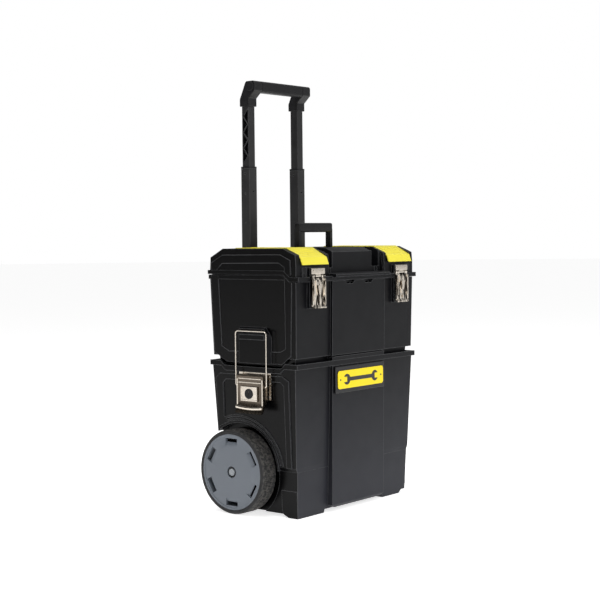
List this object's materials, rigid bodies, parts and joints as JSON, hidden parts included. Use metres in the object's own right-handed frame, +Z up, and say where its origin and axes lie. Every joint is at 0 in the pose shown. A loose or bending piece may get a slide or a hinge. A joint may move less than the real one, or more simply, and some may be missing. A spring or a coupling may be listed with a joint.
{
  "type": "rolling tool box",
  "caption": "Wheeled bin with a clipped-on hinged-lid tool box, organiser covers, carry handle and a telescopic trolley handle.",
  "frame": {"origin": "centre of the bounding box's footprint, on the floor", "axes": "+Z up, -Y towards the front with the badge, +X to the right when facing the front"},
  "size_m": [0.526, 0.304, 1.0351],
  "materials": {
    "axle": "plated",
    "axle_cap_left": "pale grey",
    "axle_cap_right": "pale grey",
    "axle_washer_left": "plated",
    "axle_washer_right": "plated",
    "badge_face": "printed yellow face",
    "badge_plate": "gloss black",
    "bail_left": "plated",
    "bail_right": "plated",
    "bin": "satin moulded plastic, fine grain",
    "carry_handle": "satin black",
    "catch_left": "bright nickel plate",
    "catch_right": "bright nickel plate",
    "front_latch_bracket_left": "bright nickel plate",
    "front_latch_bracket_right": "bright nickel plate",
    "front_latch_lever_left": "bright nickel plate",
    "front_latch_lever_right": "bright nickel plate",
    "front_latch_pin_left": "bright nickel plate",
    "front_latch_pin_right": "bright nickel plate",
    "grip_bar": "plated",
    "grip_bracket_left": "satin black",
    "grip_bracket_right": "satin black",
    "grip_end_left": "satin black",
    "grip_end_right": "satin black",
    "grip_sleeve": "satin black",
    "handle_pin_left": "plated",
    "handle_pin_right": "plated",
    "inner_tube_left": "gloss black anodised aluminium",
    "inner_tube_right": "gloss black anodised aluminium",
    "lid": "satin moulded plastic, fine grain",
    "lid_hinge_pin_left": "plated",
    "lid_hinge_pin_right": "plated",
    "lock_left": "bright nickel plate",
    "lock_right": "bright nickel plate",
    "mid_collar_left": "satin black",
    "mid_collar_right": "satin black",
    "mid_tube_left": "gloss black anodised aluminium",
    "mid_tube_right": "gloss black anodised aluminium",
    "organiser_cover_left": "semi-gloss yellow",
    "organiser_cover_right": "semi-gloss yellow",
    "outer_collar_left": "satin black",
    "outer_collar_right": "satin black",
    "outer_tube_left": "gloss black anodised aluminium",
    "outer_tube_right": "gloss black anodised aluminium",
    "side_latch_base_left": "bright nickel plate",
    "side_latch_base_right": "bright nickel plate",
    "side_latch_lever_left": "bright nickel plate",
    "side_latch_lever_right": "bright nickel plate",
    "side_latch_pin_left": "plated",
    "side_latch_pin_right": "plated",
    "top_box": "satin moulded plastic, fine grain",
    "tyre_left": "dull, finely ribbed",
    "tyre_right": "dull, finely ribbed",
    "wheel_hub_left": "blue-grey moulded plastic",
    "wheel_hub_right": "blue-grey moulded plastic"
  },
  "bodies": {
    "bin": {"bin": "bin", "axle": "axle", "badge_plate": "badge_plate", "badge_face": "badge_face", "axle_washer_left": "axle_washer_left", "axle_washer_right": "axle_washer_right", "axle_cap_left": "axle_cap_left", "axle_cap_right": "axle_cap_right", "outer_tube_left": "outer_tube_left", "outer_tube_right": "outer_tube_right", "outer_collar_left": "outer_collar_left", "outer_collar_right": "outer_collar_right", "side_latch_base_left": "side_latch_base_left", "side_latch_base_right": "side_latch_base_right", "side_latch_pin_left": "side_latch_pin_left", "side_latch_pin_right": "side_latch_pin_right"},
    "handle_mid": {"mid_tube_left": "mid_tube_left", "mid_tube_right": "mid_tube_right", "mid_collar_left": "mid_collar_left", "mid_collar_right": "mid_collar_right"},
    "handle_top": {"grip_bar": "grip_bar", "grip_sleeve": "grip_sleeve", "inner_tube_left": "inner_tube_left", "inner_tube_right": "inner_tube_right", "grip_bracket_left": "grip_bracket_left", "grip_bracket_right": "grip_bracket_right", "grip_end_left": "grip_end_left", "grip_end_right": "grip_end_right"},
    "top_box": {"top_box": "top_box", "catch_left": "catch_left", "catch_right": "catch_right", "lid_hinge_pin_left": "lid_hinge_pin_left", "lid_hinge_pin_right": "lid_hinge_pin_right"},
    "lid": {"lid": "lid", "handle_pin_left": "handle_pin_left", "handle_pin_right": "handle_pin_right", "front_latch_bracket_left": "front_latch_bracket_left", "front_latch_bracket_right": "front_latch_bracket_right", "front_latch_pin_left": "front_latch_pin_left", "front_latch_pin_right": "front_latch_pin_right"},
    "carry_handle": {"carry_handle": "carry_handle"},
    "wheel_left": {"tyre_left": "tyre_left", "wheel_hub_left": "wheel_hub_left"},
    "cover_left": {"organiser_cover_left": "organiser_cover_left"},
    "front_lever_left": {"front_latch_lever_left": "front_latch_lever_left"},
    "side_lever_left": {"side_latch_lever_left": "side_latch_lever_left", "lock_left": "lock_left"},
    "bail_left": {"bail_left": "bail_left"},
    "wheel_right": {"tyre_right": "tyre_right", "wheel_hub_right": "wheel_hub_right"},
    "cover_right": {"organiser_cover_right": "organiser_cover_right"},
    "front_lever_right": {"front_latch_lever_right": "front_latch_lever_right"},
    "side_lever_right": {"side_latch_lever_right": "side_latch_lever_right", "lock_right": "lock_right"},
    "bail_right": {"bail_right": "bail_right"}
  },
  "joints": [
    {"name": "handle_mid_slide", "type": "slide", "parent": "bin", "child": "handle_mid", "axis": [0, 0, 1], "range_m": [-0.232, 0]},
    {"name": "handle_top_slide", "type": "slide", "parent": "handle_mid", "child": "handle_top", "axis": [0, 0, 1], "range_m": [-0.145, 0]},
    {"name": "top_box_lift", "type": "slide", "parent": "bin", "child": "top_box", "axis": [0, 0, 1], "range_m": [0, 0.1]},
    {"name": "lid_hinge", "type": "hinge", "parent": "top_box", "child": "lid", "pos_m": [0, 0.1465, 0.5955], "axis": [-1, 0, 0], "range_deg": [0, 86]},
    {"name": "carry_handle_fold", "type": "hinge", "parent": "lid", "child": "carry_handle", "pos_m": [0, 0.002, 0.609], "axis": [1, 0, 0], "range_deg": [-90, 0]},
    {"name": "wheel_left_spin", "type": "hinge", "parent": "bin", "child": "wheel_left", "pos_m": [-0.238, 0.049, 0.1], "axis": [1, 0, 0], "continuous": true},
    {"name": "cover_left_hinge", "type": "hinge", "parent": "lid", "child": "cover_left", "pos_m": [-0.17, 0.066, 0.62755], "axis": [-1, 0, 0], "range_deg": [0, 100]},
    {"name": "front_latch_left", "type": "hinge", "parent": "lid", "child": "front_lever_left", "pos_m": [-0.168, -0.1415, 0.5635], "axis": [-1, 0, 0], "range_deg": [0, 110]},
    {"name": "side_latch_left", "type": "hinge", "parent": "bin", "child": "side_lever_left", "pos_m": [-0.243, -0.006, 0.328], "axis": [0, 1, 0], "range_deg": [0, 80]},
    {"name": "bail_left_swing", "type": "hinge", "parent": "side_lever_left", "child": "bail_left", "pos_m": [-0.25, -0.006, 0.306], "axis": [0, 1, 0], "range_deg": [-100, 0]},
    {"name": "wheel_right_spin", "type": "hinge", "parent": "bin", "child": "wheel_right", "pos_m": [0.238, 0.049, 0.1], "axis": [1, 0, 0], "continuous": true},
    {"name": "cover_right_hinge", "type": "hinge", "parent": "lid", "child": "cover_right", "pos_m": [0.17, 0.066, 0.62755], "axis": [-1, 0, 0], "range_deg": [0, 100]},
    {"name": "front_latch_right", "type": "hinge", "parent": "lid", "child": "front_lever_right", "pos_m": [0.168, -0.1415, 0.5635], "axis": [-1, 0, 0], "range_deg": [0, 110]},
    {"name": "side_latch_right", "type": "hinge", "parent": "bin", "child": "side_lever_right", "pos_m": [0.243, -0.006, 0.328], "axis": [0, -1, 0], "range_deg": [0, 80]},
    {"name": "bail_right_swing", "type": "hinge", "parent": "side_lever_right", "child": "bail_right", "pos_m": [0.25, -0.006, 0.306], "axis": [0, -1, 0], "range_deg": [-100, 0]}
  ],
  "couplings": [
    {"joint": "bail_left_swing", "follows": "side_latch_left", "ratio": -1.1},
    {"joint": "bail_right_swing", "follows": "side_latch_right", "ratio": -1.1}
  ]
}
